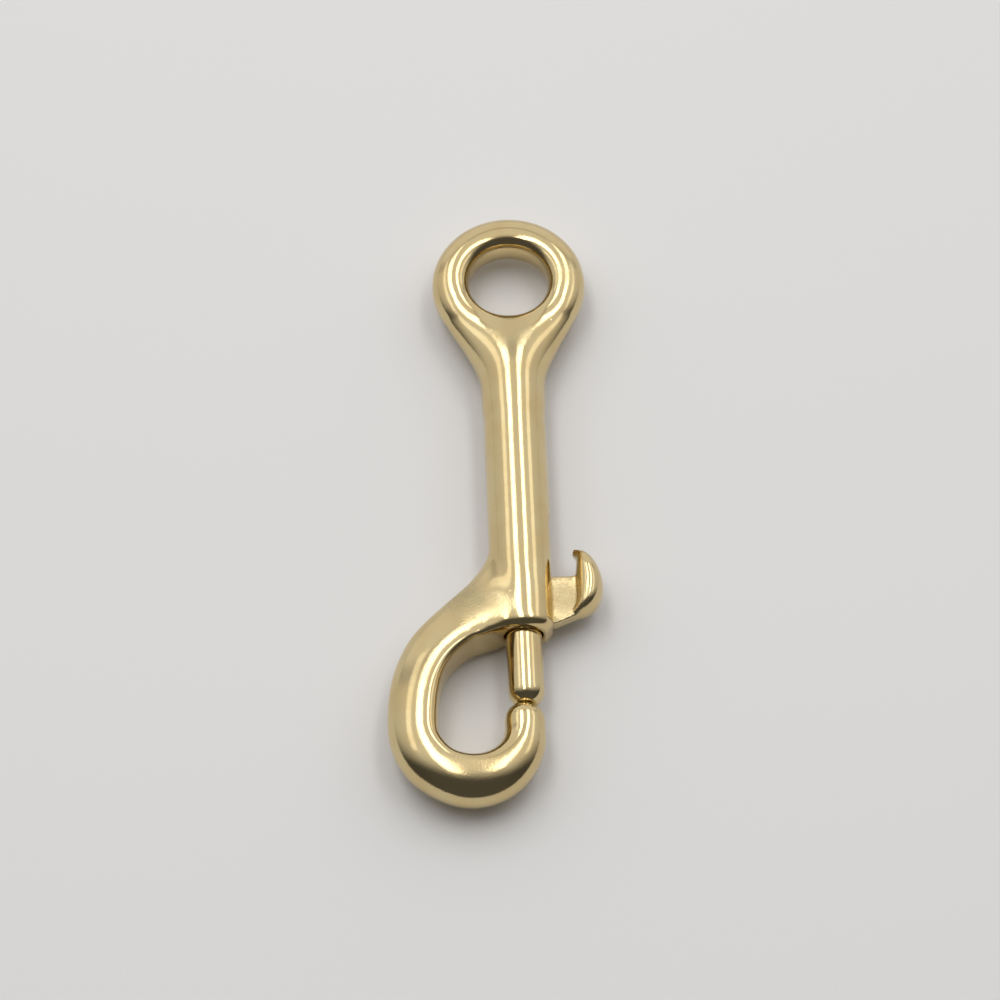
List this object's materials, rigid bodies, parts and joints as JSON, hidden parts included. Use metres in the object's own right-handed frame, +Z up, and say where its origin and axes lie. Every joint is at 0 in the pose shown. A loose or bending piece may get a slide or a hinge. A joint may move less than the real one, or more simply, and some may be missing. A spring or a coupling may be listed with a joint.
{
  "type": "bolt snap hook",
  "caption": "Cast brass snap hook with a fixed ring eye, a round barrel and an open hook closed by a spring-loaded sliding bolt with a thumb lever.",
  "frame": {"origin": "under the middle of the snap's box, on the surface that it lies on", "axes": "+Y along the bolt's axis towards the eye, -X towards the bow of the hook, +X towards the thumb lever, +Z up from the surface"},
  "size_m": [0.0321, 0.0992, 0.0093],
  "materials": {
    "hook_body": "polished cast brass",
    "bolt": "polished cast brass, rough on the web",
    "bolt_spring": "drawn stainless wire"
  },
  "bodies": {
    "body": {"hook_body": "hook_body", "bolt_spring": "bolt_spring"},
    "bolt": {"bolt": "bolt"}
  },
  "joints": [
    {"name": "bolt_slide", "type": "slide", "parent": "body", "child": "bolt", "axis": [0, 1, 0], "range_m": [0, 0.01], "stiffness_N_per_m": 800, "springref_m": -0.005, "deforming": ["bolt_spring"]}
  ]
}
